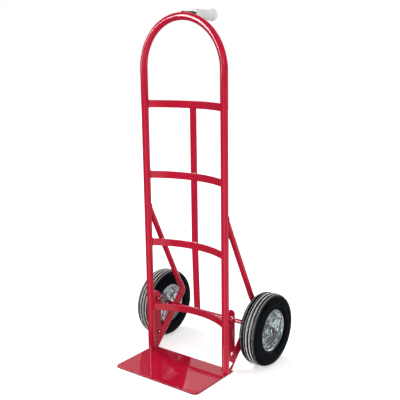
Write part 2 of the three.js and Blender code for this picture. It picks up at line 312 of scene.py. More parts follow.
def resample(path, step):
    """Points at even distances along a path."""
    points = [path[0]]
    gap = step
    for start, end in zip(path, path[1:]):
        length = (end - start).length
        at = gap
        while at < length:
            points.append(start.lerp(end, at / length))
            at += step
        gap = at - length
    points.append(path[-1])
    return points


def bead(path, radius, pitch=2.4 * MM, sides=12):
    """Weld bead: overlapping ripples along a path, a little uneven, with tapered ends."""
    steps = 5  # rings for each ripple
    points = resample(path, pitch / steps)
    across = (points[1] - points[0]).orthogonal().normalized()
    rings = []
    last = len(points) - 1
    wobble = 1.0
    for i, point in enumerate(points):
        tangent = (points[min(i + 1, last)] - points[max(i - 1, 0)]).normalized()
        across = (across - tangent * across.dot(tangent)).normalized()
        up = tangent.cross(across)
        if i % steps == 0:
            wobble = rng.uniform(0.88, 1.08)
        ripple = 1 + 0.09 * math.cos(2 * math.pi * i / steps)
        taper = min(1, 0.35 + min(i, last - i) / steps)
        size = radius * ripple * wobble * taper
        rings.append([point + across * (u * size) + up * (v * size) for u, v in circle(1, sides)])
    return loft(rings)


# ------------------------------------------------------------------------------- materials


def new_material(name):
    """A material with nodes, its node tree and its shader."""
    material = bpy.data.materials.new(name)
    material.use_nodes = True
    tree = material.node_tree
    return material, tree, tree.nodes["Principled BSDF"]


def object_coords(tree):
    """Place on the object, in metres."""
    return tree.nodes.new("ShaderNodeTexCoord").outputs["Object"]


def noise_node(tree, scale, detail, source=None):
    """Soft cloudy value of a given scale per metre."""
    node = tree.nodes.new("ShaderNodeTexNoise")
    node.inputs["Scale"].default_value = scale
    node.inputs["Detail"].default_value = detail
    tree.links.new(source or object_coords(tree), node.inputs["Vector"])
    return node.outputs["Fac"]


def map_range(tree, value, low, high, from_low=0.3, from_high=0.7):
    """Goes from low to high as the value goes over its own range."""
    node = tree.nodes.new("ShaderNodeMapRange")
    node.inputs["From Min"].default_value = from_low
    node.inputs["From Max"].default_value = from_high
    node.inputs["To Min"].default_value = low
    node.inputs["To Max"].default_value = high
    tree.links.new(value, node.inputs["Value"])
    return node.outputs["Result"]


def mix_colors(tree, factor, first, second):
    """Mix of two colours; each is an (r, g, b) value or a socket."""
    node = tree.nodes.new("ShaderNodeMix")
    node.data_type = "RGBA"
    tree.links.new(factor, node.inputs["Factor"])
    for socket, color in ((node.inputs[6], first), (node.inputs[7], second)):
        if isinstance(color, tuple):
            socket.default_value = (*color, 1)
        else:
            tree.links.new(color, socket)
    return node.outputs[2]


def tint(tree, shader, factor, first, second):
    """Colours a surface with a mix of two colours."""
    tree.links.new(mix_colors(tree, factor, first, second), shader.inputs["Base Color"])


def polish(tree, shader, value, low, high):
    """Lets a surface's roughness go from low to high with a cloudy value."""
    tree.links.new(map_range(tree, value, low, high), shader.inputs["Roughness"])


def bump(tree, shader, heights):
    """Chains bump nodes: each height is (socket, strength, distance in metres)."""
    normal = None
    for socket, strength, distance in heights:
        node = tree.nodes.new("ShaderNodeBump")
        node.inputs["Strength"].default_value = strength
        node.inputs["Distance"].default_value = distance
        tree.links.new(socket, node.inputs["Height"])
        if normal is not None:
            tree.links.new(normal, node.inputs["Normal"])
        normal = node.outputs["Normal"]
    tree.links.new(normal, shader.inputs["Normal"])


def axle_radius(tree, coords):
    """Distance from the axle's line, for marks that run round a wheel."""
    offset = tree.nodes.new("ShaderNodeVectorMath")
    offset.operation = "SUBTRACT"
    offset.inputs[1].default_value = (0, AXLE_Y, AXLE_Z)
    tree.links.new(coords, offset.inputs[0])
    flat = tree.nodes.new("ShaderNodeVectorMath")
    flat.operation = "MULTIPLY"
    flat.inputs[1].default_value = (0, 1, 1)
    tree.links.new(offset.outputs[0], flat.inputs[0])
    radius = tree.nodes.new("ShaderNodeVectorMath")
    radius.operation = "LENGTH"
    tree.links.new(flat.outputs[0], radius.inputs[0])
    return radius.outputs["Value"]


def turned_rings(tree, radius, scale):
    """Value that changes only with the radius, as tool marks and mould rings do."""
    rings = tree.nodes.new("ShaderNodeTexNoise")
    rings.noise_dimensions = "1D"
    rings.inputs["Scale"].default_value = scale
    rings.inputs["Detail"].default_value = 3
    tree.links.new(radius, rings.inputs["W"])
    return rings.outputs["Fac"]


def red_enamel(name, weld=False):
    """Glossy crimson enamel with faint orange peel and painted shade that darkens it near the
    floor; a weld's enamel is a little uneven."""
    material, tree, shader = new_material(name)
    blotch = map_range(tree, noise_node(tree, 9, 3), 0, 1)
    shade = mix_colors(tree, blotch, (0.455, 0.0070, 0.031), (0.51, 0.0085, 0.036))
    grime = map_range(tree, noise_node(tree, 24, 5), 0, 0.25, 0.6, 0.8)
    worn = mix_colors(tree, grime, shade, (0.30, 0.006, 0.02))
    split = tree.nodes.new("ShaderNodeSeparateXYZ")
    tree.links.new(object_coords(tree), split.inputs[0])
    # Painted shade: the enamel goes darker towards the floor, below the toe plate's top.
    painted_floor_shade = map_range(tree, split.outputs["Z"], 0.75, 0, 0.4 * PLATE_TOP, PLATE_TOP)
    tint(tree, shader, painted_floor_shade, worn, (0.06, 0.006, 0.008))
    low, high = (0.14, 0.3) if weld else (0.08, 0.13)
    polish(tree, shader, noise_node(tree, 60, 4), low, high)
    shader.inputs["Specular IOR Level"].default_value = 0.05
    shader.inputs["Coat Weight"].default_value = 0.85
    shader.inputs["Coat Roughness"].default_value = 0.035
    peel = noise_node(tree, 420, 2)
    ripple = noise_node(tree, 55, 2)
    bump(tree, shader, [(peel, 0.05, 0.00004), (ripple, 0.12, 0.0002 if weld else 0.00003)])
    return material


def axle_end_paint():
    """Dark, patchy enamel on the sawn ends of the axle, with fine turned rings."""
    material, tree, shader = new_material("axle_end_paint")
    coords = object_coords(tree)
    patches = map_range(tree, noise_node(tree, 210, 4, coords), 0, 1)
    tint(tree, shader, patches, (0.030, 0.004, 0.010), (0.15, 0.008, 0.028))
    polish(tree, shader, noise_node(tree, 120, 3, coords), 0.3, 0.5)
    bump(tree, shader, [(turned_rings(tree, axle_radius(tree, coords), 1400), 0.4, 0.0001)])
    return material


def tyre_rubber():
    """Moulded black rubber: dusty patches and fine mould rings round the wheel."""
    material, tree, shader = new_material("tyre_rubber")
    coords = object_coords(tree)
    dust = map_range(tree, noise_node(tree, 14, 5, coords), 0, 1)
    tint(tree, shader, dust, (0.0012, 0.0020, 0.0036), (0.0034, 0.0046, 0.0066))
    shader.inputs["Specular IOR Level"].default_value = 0.06
    polish(tree, shader, noise_node(tree, 45, 4, coords), 0.36, 0.48)
    rings = turned_rings(tree, axle_radius(tree, coords), 500)
    bump(tree, shader, [(rings, 0.2, 0.0001), (noise_node(tree, 900, 3, coords), 0.3, 0.0001)])
    return material


def chalk_and_highlight_rubber():
    """Mould chalk on the tread, grey further down and on the notched shoulders, with white on the
    rims of the grooves that is partly chalk and partly a painted highlight along their edges."""
    material, tree, shader = new_material("chalk_and_highlight_rubber")
    coords = object_coords(tree)
    patches = map_range(tree, noise_node(tree, 160, 4, coords), 0, 1, 0.3, 0.55)
    white = mix_colors(tree, patches, (0.45, 0.44, 0.45), (0.88, 0.87, 0.88))
    grey = mix_colors(tree, patches, (0.05, 0.048, 0.052), (0.24, 0.23, 0.24))
    # Painted highlight: the top of each groove wall is white, as if its edge caught the light; lower down
    # it is grey chalk.
    top = map_range(tree, axle_radius(tree, coords), 0, 1, 124.7 * MM, 125.3 * MM)
    tint(tree, shader, top, grey, white)
    polish(tree, shader, noise_node(tree, 90, 3, coords), 0.6, 0.8)
    bump(tree, shader, [(noise_node(tree, 900, 3, coords), 0.3, 0.0001)])
    return material


def zinc_plate():
    """Bright zinc plating with faint turned rings about the axle and a cloudy passivation."""
    material, tree, shader = new_material("zinc_plate")
    coords = object_coords(tree)
    rings = turned_rings(tree, axle_radius(tree, coords), 900)
    cloud = noise_node(tree, 38, 5, coords)
    tint(tree, shader, map_range(tree, cloud, 0, 1), (0.80, 0.90, 0.95), (0.91, 0.96, 0.99))
    shader.inputs["Metallic"].default_value = 0.97
    polish(tree, shader, cloud, 0.06, 0.1)
    bump(tree, shader, [(rings, 0.03, 0.00001), (noise_node(tree, 120, 1, coords), 0.05, 0.00002)])
    return material


def handle_steel():
    """Dark scaled steel, with red overspray where the tube leaves the crown."""
    material, tree, shader = new_material("handle_steel")
    coords = object_coords(tree)
    scale = noise_node(tree, 90, 4, coords)
    flecks = map_range(tree, scale, 0, 1)
    bare = mix_colors(tree, flecks, (0.012, 0.010, 0.010), (0.042, 0.034, 0.033))
    split = tree.nodes.new("ShaderNodeSeparateXYZ")
    tree.links.new(coords, split.inputs[0])
    fade = map_range(tree, split.outputs["Y"], 1, 0, 24 * MM, 32 * MM)
    tint(tree, shader, fade, bare, (0.48, 0.009, 0.036))
    shader.inputs["Metallic"].default_value = 0.3
    polish(tree, shader, scale, 0.28, 0.46)
    bump(tree, shader, [(noise_node(tree, 500, 3, coords), 0.3, 0.0001)])
    return material


def grey_vinyl():
    """Light grey dipped vinyl with a fine pebble and slightly soiled patches."""
    material, tree, shader = new_material("grey_vinyl")
    coords = object_coords(tree)
    patches = map_range(tree, noise_node(tree, 30, 4, coords), 0, 1)
    tint(tree, shader, patches, (0.62, 0.62, 0.63), (0.76, 0.76, 0.77))
    polish(tree, shader, noise_node(tree, 70, 3, coords), 0.34, 0.5)
    pebble = tree.nodes.new("ShaderNodeTexVoronoi")
    pebble.inputs["Scale"].default_value = 900
    tree.links.new(coords, pebble.inputs["Vector"])
    bump(tree, shader, [(pebble.outputs["Distance"], 0.3, 0.0001)])
    return material


def black_nylon():
    """Moulded black nylon with worn greyer patches."""
    material, tree, shader = new_material("black_nylon")
    patches = map_range(tree, noise_node(tree, 50, 3), 0, 1)
    tint(tree, shader, patches, (0.009, 0.009, 0.010), (0.018, 0.018, 0.019))
    polish(tree, shader, noise_node(tree, 80, 3), 0.35, 0.5)
    bump(tree, shader, [(noise_node(tree, 600, 2), 0.2, 0.00005)])
    return material


RED = red_enamel("red_enamel")
WELD = red_enamel("red_enamel_on_welds", weld=True)
AXLE_END = axle_end_paint()
RUBBER = tyre_rubber()
CHALK_AND_HIGHLIGHT = chalk_and_highlight_rubber()
ZINC = zinc_plate()
DARK = handle_steel()
VINYL = grey_vinyl()
NYLON = black_nylon()

# --------------------------------------------------------------------------- camera, light

CAMERA_YAW = 37.4
CAMERA_PITCH = 12.5
CAMERA_ROLL = -0.754

camera_data = bpy.data.cameras.new("camera")
camera_data.sensor_width = 36
camera_data.lens = 63.29
camera = bpy.data.objects.new("camera", camera_data)
camera.location = (1.4422, -1.8009, 1.0955)
camera.rotation_euler = (Euler((0, 0, math.radians(CAMERA_YAW))).to_matrix()
                         @ Euler((math.radians(90 - CAMERA_PITCH), 0, 0)).to_matrix()
                         @ Euler((0, 0, math.radians(CAMERA_ROLL))).to_matrix()).to_euler()
bpy.context.scene.collection.objects.link(camera)
bpy.context.scene.camera = camera


def towards(azimuth, elevation):
    """Unit vector to an azimuth, counted from the front to the right, and an elevation."""
    a, e = math.radians(azimuth), math.radians(elevation)
    return Vector((math.sin(a) * math.cos(e), -math.cos(a) * math.cos(e), math.sin(e)))


def soft_sun(azimuth, elevation, strength, angle):
    """Distant soft light that no surface mirrors."""
    data = bpy.data.lights.new("soft_sun", "SUN")
    data.energy = strength
    data.angle = math.radians(angle)
    light = bpy.data.objects.new("soft_sun", data)
    light.rotation_euler = towards(azimuth, elevation).to_track_quat("Z", "Y").to_euler()
    light.visible_glossy = False
    bpy.context.scene.collection.objects.link(light)


class WorldNodes:
    """Small builder for the studio's light as a function of direction."""

    def __init__(self, tree):
        self.tree = tree
        self.direction = tree.nodes.new("ShaderNodeTexCoord").outputs["Generated"]

    def math(self, operation, first, second=None):
        """Result of one operation on numbers or sockets."""
        node = self.tree.nodes.new("ShaderNodeMath")
        node.operation = operation
        for socket, value in zip(node.inputs, (first, second)):
            if isinstance(value, (int, float)):
                socket.default_value = value
            elif value is not None:
                self.tree.links.new(value, socket)
        return node.outputs[0]

    def smooth(self, value, low, high, start, end):
        """Goes smoothly from start, at low, to end, at high."""
        node = self.tree.nodes.new("ShaderNodeMapRange")
        node.interpolation_type = "SMOOTHSTEP"
        for name, number in (("From Min", low), ("From Max", high), ("To Min", start), ("To Max", end)):
            node.inputs[name].default_value = number
        self.tree.links.new(value, node.inputs["Value"])
        return node.outputs["Result"]

    def along(self, azimuth, elevation=0):
        """Part of the direction that points to an azimuth and elevation: at elevation zero
        its sign tells the side of a vertical plane."""
        dot = self.tree.nodes.new("ShaderNodeVectorMath")
        dot.operation = "DOT_PRODUCT"
        dot.inputs[1].default_value = towards(azimuth, elevation)
        self.tree.links.new(self.direction, dot.inputs[0])
        return dot.outputs["Value"]

    def lobe(self, azimuth, elevation, inner, outer, strength):
        """Soft round light about a direction, full inside one angle and gone at another."""
        return self.smooth(self.along(azimuth, elevation), math.cos(math.radians(outer)),
                           math.cos(math.radians(inner)), 0, strength)

    def facing(self, azimuth, low):
        """One where the direction points mostly to an azimuth, and zero on the far side."""
        return self.smooth(self.along(azimuth), low, low + 0.3, 0, 1)

    def total(self, values):
        """Sum of any number of sockets."""
        result = values[0]
        for value in values[1:]:
            result = self.math("ADD", result, value)
        return result


def even_light(nodes, height):
    """What matt surfaces receive: a dim dome and wide lights in front, on the right and above."""
    return nodes.total([
        nodes.smooth(height, -0.3, 0.5, 0.24, 0.32),
        nodes.lobe(15, -10, 20, 85, 1.05),
        nodes.lobe(100, -5, 15, 45, 1.25),
        nodes.lobe(0, 88, 10, 70, 0.56),
    ])


def mirrored_light(nodes, height):
    """What glossy surfaces mirror: a leaning softbox on the left, small lights elsewhere, and
    behind the truck two pale curtains with a dark gap between them and a low pale band."""
    horizon = nodes.smooth(height, 0.0, 0.05, 0, 1)
    behind = nodes.math("MULTIPLY", nodes.facing(180 + CAMERA_YAW, 0.3), horizon)
    curtain_top = nodes.smooth(height, 0.6, 0.5, 0, 1)
    curtain_left = nodes.smooth(nodes.along(132.2), 0.002, 0.012, 0, 0.75)
    curtain_right = nodes.smooth(nodes.along(128.4), -0.002, -0.012, 0, 0.5)
    curtains = nodes.math("MULTIPLY", nodes.math("MULTIPLY", behind, curtain_top),
                          nodes.math("ADD", curtain_left, curtain_right))
    low_band = nodes.math("MULTIPLY", behind, nodes.smooth(height, 0.33, 0.29, 0, 0.9))
    softbox = [
        nodes.lobe(-29, 26, 11, 19, 16),
        nodes.lobe(-32, 11, 8, 15, 16),
        nodes.lobe(-43, 3, 3, 7, 16),
    ]
    near_camera = nodes.lobe(32, 10, 5, 12, 3)
    behind_right_wheel = nodes.lobe(160, 36, 6, 16, 1.0)
    glow_of_floor = [
        nodes.lobe(20, -26, 12, 30, 0.8),
        nodes.lobe(112, -22, 8, 24, 0.8),
        nodes.lobe(150, -22, 8, 28, 0.2),
        nodes.lobe(200, -22, 10, 24, 1.3),
    ]
    return nodes.total([
        nodes.smooth(height, -0.5, 0.1, 0.15, 0.1),
        *softbox,
        near_camera,
        *glow_of_floor,
        behind_right_wheel,
        curtains,
        low_band,
    ])


def studio_world():
    """White backdrop to the camera, even light on surfaces, and softboxes in reflections."""
    world = bpy.data.worlds.new("studio")
    world.use_nodes = True
    world.cycles.sampling_method = "NONE"
    tree = world.node_tree
    nodes = WorldNodes(tree)
    split = tree.nodes.new("ShaderNodeSeparateXYZ")
    tree.links.new(nodes.direction, split.inputs[0])
    height = split.outputs["Z"]
    rays = tree.nodes.new("ShaderNodeLightPath")

    def where(kind, first, second):
        """First on rays of one kind, and second on all others."""
        others = nodes.math("SUBTRACT", 1, rays.outputs[kind])
        return nodes.math("ADD", nodes.math("MULTIPLY", rays.outputs[kind], first),
                          nodes.math("MULTIPLY", others, second))

    light = where("Is Glossy Ray", mirrored_light(nodes, height), even_light(nodes, height))
    background = tree.nodes["Background"]
    background.inputs["Color"].default_value = (1, 1, 1, 1)
    tree.links.new(where("Is Camera Ray", 1, light), background.inputs["Strength"])
    bpy.context.scene.world = world


def studio_floor():
    """Plain pale floor that only shows soft shadows."""
    half = 8
    below = -0.5 * MM
    material, _, shader = new_material("studio_floor")
    shader.inputs["Base Color"].default_value = (0.92, 0.92, 0.92, 1)
    shader.inputs["Roughness"].default_value = 0.9
    shader.inputs["Specular IOR Level"].default_value = 0
    shader.inputs["Emission Color"].default_value = (1, 1, 1, 1)
    shader.inputs["Emission Strength"].default_value = 0.45
    mesh = bpy.data.meshes.new("studio_floor")
    corners = [(x * half, y * half, below) for x, y in ((-1, -1), (1, -1), (1, 1), (-1, 1))]
    mesh.from_pydata(corners, [], [(0, 1, 2, 3)])
    mesh.materials.append(material)
    floor = bpy.data.objects.new("studio_floor", mesh)
    floor.visible_glossy = False
    floor.visible_diffuse = False
    bpy.context.scene.collection.objects.link(floor)


studio_world()
studio_floor()
soft_sun(azimuth=-103, elevation=48, strength=1.4, angle=18)
bpy.context.scene.view_settings.view_transform = "Standard"

# -------------------------------------------------------------------------- frame and bars


def loop_tube():
    """The bent frame tube: a leg, the half-round crown and the other leg."""
    foot = loop_lo.z
    path = [Vector((-LEG_X, 0, foot)), Vector((-LEG_X, 0, SPRING_Z / 2))]
    path += [Vector((u, 0, v)) for u, v in arc((0, SPRING_Z), LEG_X, 180, 0, 72)]
    path += [Vector((LEG_X, 0, SPRING_Z / 2)), Vector((LEG_X, 0, foot))]
    skin = sweep(path, circle(TUBE_R, 48), Vector((0, 1, 0)))
    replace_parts(add_mesh("loop_tube", [skin], RED, "frame"), "loop_frame")


def bar_curve(node):
    """Radius, centre, slope at the legs and height of a bowed crossbar."""
    lo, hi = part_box(node)
    bow = hi.y - BAR_THICK / 2
    radius = (LEG_X ** 2 + bow ** 2) / (2 * bow)
    return radius, bow - radius, math.degrees(math.asin(LEG_X / radius)), (lo.z + hi.z) / 2


def crossbar(number):
    """Flat bar between the legs, bowed to the rear."""
    node = f"crossbar_{number}"
    lo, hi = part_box(node)
    radius, centre, slope, z = bar_curve(node)
    path = [Vector((u, v, z)) for u, v in arc((0, centre), radius, 90 + slope, 90 - slope, 48)]
    skin = sweep(path, rounded_rect(BAR_THICK, hi.z - lo.z, BAR_EDGE_R), Vector((0, 0, 1)))
    bar = add_mesh(f"bowed_bar_{number}", [skin], RED, "frame", flat_faces=True)
    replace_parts(bar, node)


def bar_weld(number, side):
    """Bead round a crossbar's end, on the leg's surface."""
    lo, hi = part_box(f"crossbar_{number}")
    _, _, slope, z = bar_curve(f"crossbar_{number}")
    reach = TUBE_R + 0.2 * MM
    outline = rounded_rect(BAR_THICK + 2 * MM, hi.z - lo.z + 1.6 * MM, 1.6 * MM)
    path = []
    for u, v in outline + outline[:2]:
        angle = math.radians(180 - slope) + u / reach
        path.append(Vector((side * (LEG_X + reach * math.cos(angle)), reach * math.sin(angle), z + v)))
    return bead(path, 1.7 * MM)


def strap():
    """Centre strap behind the crossbars, joggled back to reach the lowest one."""
    lo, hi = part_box("centre_strap")
    third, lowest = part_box("crossbar_3")[0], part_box("crossbar_4")[1]
    upper_y, lower_y = lo.y + BAR_THICK / 2, hi.y - BAR_THICK / 2
    bend = 12 * MM
    low, high = Vector((lower_y, lowest.z)), Vector((upper_y, third.z))
    up = Vector((0, bend))
    lean = (high - low).normalized() * bend
    curve = [Vector((lower_y, lo.z))]
    curve += bezier(low - up, low, low + lean, 6)
    curve += bezier(high - lean, high, high + up, 6)
    curve.append(Vector((upper_y, hi.z)))
    path = [Vector((0, point.x, point.y)) for point in curve]
    skin = sweep(path, rounded_rect(hi.x - lo.x, BAR_THICK, BAR_EDGE_R), Vector((0, 1, 0)))
    obj = add_mesh("joggled_strap", [skin], RED, "frame", flat_faces=True)
    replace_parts(obj, "centre_strap")


def strap_welds():
    """Short fillets where the strap's edges cross the back of each crossbar."""
    _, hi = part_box("centre_strap")
    inset_ends = 3.5 * MM
    parts = []
    for number in range(1, 5):
        bar_lo, bar_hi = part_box(f"crossbar_{number}")
        for side in (-1, 1):
            x = side * (hi.x + 0.4 * MM)
            y = bar_hi.y + 0.6 * MM
            ends = [Vector((x, y, bar_lo.z + inset_ends)), Vector((x, y, bar_hi.z - inset_ends))]
            parts.append(bead(ends, 1.9 * MM))
    return parts


def toe_plate():
    """Flat plate under the load, with large round corners in front."""
    outline = [(plate_lo.x, plate_lo.y), (plate_hi.x, plate_lo.y), (plate_hi.x, plate_hi.y),
               (plate_lo.x, plate_hi.y)]
    rear_corner = 2 * MM
    outline = round_corners(outline, [PLATE_CORNER_R, PLATE_CORNER_R, rear_corner, rear_corner], 10)
    mid = (plate_lo.z + plate_hi.z) / 2
    thickness = plate_hi.z - plate_lo.z - 0.02 * MM  # a hair inside the CAD plate
    skin = plate([outline], thickness, PLATE_EDGE_R, lambda u, v, w: Vector((u, v, mid + w)))
    obj = add_mesh("rounded_toe_plate", [skin], RED, "frame", flat_faces=True)
    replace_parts(obj, "toe_plate")


def leg_base_weld(side):
    """Bead round the foot of a leg, on the toe plate."""
    reach = TUBE_R + 0.6 * MM
    start, end = (68, 292) if side > 0 else (-112, 112)
    points = arc((side * LEG_X, 0), reach, start, end, 40)
    return bead([Vector((u, v, PLATE_TOP + 1.2 * MM)) for u, v in points], 2.3 * MM)


# ------------------------------------------------------------------ side plates and braces

# Outlines below are in millimetres, drawn as (y, z) in the plane of a leg. The side plates'
# lower corner is full on the left and cut away on the right.
GUSSET_HOLES = [(36, 190), (36, 60)]
FULL_CORNER = [(13, 5.3), (23.6, 5.3), (30.4, 15.6), (44.7, 21.1)]
CUT_CORNER = [(13, 44.5), (44.6, 21.5)]
GUSSET_BACK = [(48.5, 45), (53, 70), (53, 206), (36, 221), (13, 221)]

# Sections of the brace from the end of its straight tube to its foot: front edge, rear edge
# and thickness. The tube flattens round the knee, runs straight, and thins at the foot.
BRACE_SECTIONS = [
    ((159.2, 210.4), (178.4, 219.3), 19.4),
    ((163.9, 200.6), (184.6, 207.8), 18.0),
    ((166.8, 193.6), (190.6, 195.4), 16.2),
    ((168.2, 189.4), (195.2, 183.6), 14.4),
    ((168.2, 186.4), (196.2, 173.6), 12.6),
    ((166.0, 183.2), (192.6, 164.0), 10.8),
    ((159.8, 176.8), (184.5, 155.4), 9.4),
    ((140.0, 157.0), (164.7, 135.0), 9.0),
    ((97.0, 113.9), (121.8, 90.9), 9.0),
    ((62.0, 78.7), (87.0, 55.4), 9.0),
    ((54.4, 70.7), (82.2, 50.6), 8.8),
    ((50.6, 54.0), (79.4, 47.6), 7.4),
    ((49.2, 45.0), (73.6, 41.6), 5.8),
    ((47.4, 33.0), (64.4, 32.0), 5.0),
    ((43.8, 20.2), (53.2, 20.6), 5.0),
    ((31.6, 14.6), (46.2, 13.2), 5.0),
    ((24.6, 5.4), (38.4, 5.4), 5.0),
]
BRACE_TOP = Vector((10.4, 531.8)) * MM
BRACE_KNEE = Vector((179.3, 188.5)) * MM
BRACE_ALONG = (BRACE_KNEE - BRACE_TOP).normalized()
BRACE_ACROSS = Vector((-BRACE_ALONG.y, BRACE_ALONG.x))


def side_plate(tag, side):
    """Gusset behind a leg, with two holes."""
    corner = FULL_CORNER if side < 0 else CUT_CORNER
    outline = [(y * MM, z * MM) for y, z in corner + GUSSET_BACK]
    radii = [0.8 * MM] * len(corner) + [4 * MM, 8 * MM, 10 * MM, 9 * MM, 0.8 * MM]
    loops = [round_corners(outline, radii, 5)]
    for y, z in GUSSET_HOLES:
        hole = [(y * MM + u, z * MM + v) for u, v in circle(GUSSET_HOLE_R, 36)]
        loops.append(list(reversed(hole)))
    skin = plate(loops, GUSSET_THICK, GUSSET_EDGE_R, side_view(side * LEG_X))
    obj = add_mesh(f"side_gusset_{tag}", [skin], RED, "frame", flat_faces=True)
    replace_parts(obj, f"side_plate_{tag}")


def brace_ring(x, front, rear, thick):
    """Section of the brace between two edge points: round when as thick as it is wide."""
    centre = (front + rear) / 2
    along = (rear - front) / 2
    width = along.length * 2
    corner = min(width, thick) / 2 * 0.995
    outline = rounded_rect(width, thick, corner, 6)
    unit = along.normalized()
    return [Vector((x + v, centre.x + unit.x * u, centre.y + unit.y * u)) for u, v in outline]


def brace(tag, side):
    """Brace: round tube from the leg to the knee, flattened from there to the foot."""
    half = BRACE_ACROSS * BRACE_R
    rows = []
    for part in (0, 0.3, 0.6, 0.88):
        centre = BRACE_TOP.lerp(BRACE_KNEE, part)
        rows.append((*(centre - half), *(centre + half), 2 * BRACE_R))
    for front, rear, thick in BRACE_SECTIONS:
        rows.append((*(Vector(front) * MM), *(Vector(rear) * MM), thick * MM))
    rings = []
    for front_y, front_z, rear_y, rear_z, thick in spline(rows, 5):
        front, rear = Vector((front_y, front_z)), Vector((rear_y, rear_z))
        rings.append(brace_ring(side * LEG_X, front, rear, thick))
    skin = loft(rings)
    obj = add_mesh(f"bent_brace_{tag}", [skin], RED, "frame")
    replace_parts(obj, f"brace_{tag}")


def brace_top_weld(side):
    """Bead where the brace's round end meets the leg, a little past one turn."""
    count = 48
    path = []
    for i in range(count + 2):
        angle = 2 * math.pi * i / count
        out = BRACE_R * math.cos(angle)
        x = BRACE_R * math.sin(angle)
        leg_y = math.sqrt(TUBE_R ** 2 - x ** 2)
        reach = (leg_y - BRACE_TOP.x - out * BRACE_ACROSS.x) / BRACE_ALONG.x
        point = BRACE_TOP + BRACE_ACROSS * out + BRACE_ALONG * reach
        path.append(Vector((side * LEG_X + x * 1.08, point.x + 0.6 * MM, point.y)))
    return bead(path, 2.2 * MM)


def lines_on_both_faces(side, offset, points, radius):
    """The same bead on both faces of a side plate or brace."""
    parts = []
    for face in (-1, 1):
        x = side * LEG_X + face * offset
        parts.append(bead([Vector((x, y * MM, z * MM)) for y, z in points], radius))
    return parts


def side_welds(side):
    """Beads of the side plate, the brace's foot and the axle's seat."""
    along_leg = [(12.6, 8 if side < 0 else 46), (12.6, 219)]
    behind_plate = [(44.9, 23), (48.6, 45), (52.6, 68)]
    under_foot = [(23.5, 6.2), (37, 6.2)]
    seat = [Vector(p) / MM for p in arc((AXLE_Y, AXLE_Z), AXLE_R + 0.6 * MM, 2, 188, 24)]
    face = GUSSET_THICK / 2
    parts = lines_on_both_faces(side, face + 0.3 * MM, along_leg, 1.8 * MM)
    parts += lines_on_both_faces(side, face + 0.1 * MM, behind_plate, 2.3 * MM)
    parts += lines_on_both_faces(side, face + 0.1 * MM, under_foot, 1.9 * MM)
    parts += lines_on_both_faces(side, 4.6 * MM, seat, 2.2 * MM)
    return parts


def frame_welds():
    """Every weld of the frame, as one piece for each kind of joint."""
    groups = {
        "bar_end_welds": [bar_weld(n, s) for n in range(1, 5) for s in (-1, 1)],
        "strap_welds": strap_welds(),
        "leg_base_welds": [leg_base_weld(s) for s in (-1, 1)],
        "brace_top_welds": [brace_top_weld(s) for s in (-1, 1)],
        "left_side_welds": side_welds(-1),
        "right_side_welds": side_welds(1),
    }
    for name, parts in groups.items():
        add_mesh(name, parts, WELD, "frame", sharp_deg=70)


# --------------------------------------------------------------------- handle and its grip


def about_handle(profile, count, shape=None):
    """Closed profile of (radius, y) turned about the handle's own line."""
    rings = []
    for i in range(count):
        angle = 2 * math.pi * i / count
        ring = []
        for r, y in profile:
            if shape:
                r = shape(r, y, angle)
            ring.append(Vector((r * math.cos(angle), y, HANDLE_Z + r * math.sin(angle))))
        rings.append(ring)
    return loft(rings, closed=True)


def handle_tube():
    """Straight pin tube, from the crown into the grip."""
    start, end = handle_lo.y, handle_hi.y
    bore = HANDLE_R - HANDLE_WALL
    section = [(bore, start), (HANDLE_R, start), (HANDLE_R, end), (bore, end)]
    skin = about_handle(round_corners(section, 0.4 * MM, 3), 48)
    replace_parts(add_mesh("pin_tube", [skin], DARK, "frame"), "handle_tube")


def handle_weld():
    """Painted weld that fills the corner between the crown and the handle tube."""
    start = handle_lo.y - 2 * MM
    low = HANDLE_R - 1 * MM
    section = [(low, start)]
    for height, distance in ((0.5, 0), (1.2, 4), (0.9, 8), (0.2, 12)):
        section.append((HANDLE_R + height * MM, start + distance * MM))
    section.append((low, start + 12 * MM))

    def fillet(r, y, angle):
        """Thick under the tube and on its sides, thin on top."""
        if r < HANDLE_R:
            return r
        below = 0.5 - 0.5 * math.sin(angle)
        lumps = math.sin(9 * angle) * math.cos(5 * angle + 1)
        return HANDLE_R + (r - HANDLE_R) * (0.25 + 2.4 * below + 0.3 * lumps)

    skin = about_handle(round_corners(section, 2 * MM, 4), 64, fillet)
    add_mesh("handle_weld", [skin], WELD, "frame", sharp_deg=70)


def grip():
    """Moulded grip: smooth on top, four finger bumps underneath and an end flange."""
    start, end = grip_lo.y, grip_hi.y
    flange_y = end - 6 * MM
    bore = HANDLE_R + 0.2 * MM
    bottom = handle_hi.y + 0.3 * MM
    pitch = (flange_y - start) / 4.5
    bump_height, valley_depth = 1.4 * MM, 4.6 * MM
    section = [(bore, start), (GRIP_R - 1.6 * MM, start), (GRIP_R - 0.4 * MM, start + 0.8 * MM)]
    count = 60
    for i in range(count + 1):
        y = start + 2 * MM + (flange_y - start - 5 * MM) * i / count
        section.append((GRIP_R, y))
    section += [(GRIP_R + 0.8 * MM, flange_y - 1.6 * MM), (FLANGE_R - 0.7 * MM, flange_y - 0.3 * MM),
                (FLANGE_R, flange_y + 1 * MM), (FLANGE_R, end - 2 * MM),
                (FLANGE_R - 0.8 * MM, end - 0.6 * MM), (FLANGE_R - 2.4 * MM, end),
                (POLE, end), (POLE, bottom), (bore, bottom)]

    def fingers(r, y, angle):
        """Bumps and valleys on the underside of the body."""
        if abs(r - GRIP_R) > 0.5 * MM or y < start + 2 * MM:
            return r
        below = max(0, -math.sin(angle)) ** 1.5
        wave = (1 - abs(math.cos(math.pi * (y - start) / pitch))) ** 0.8
        return r + below * (bump_height - valley_depth * (1 - wave) ** 3)

    skin = about_handle(section, 72, fingers)
    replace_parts(add_mesh("finger_grip", [skin], VINYL, "frame"), "handle_grip")


# ------------------------------------------------------------------------- axle and wheels


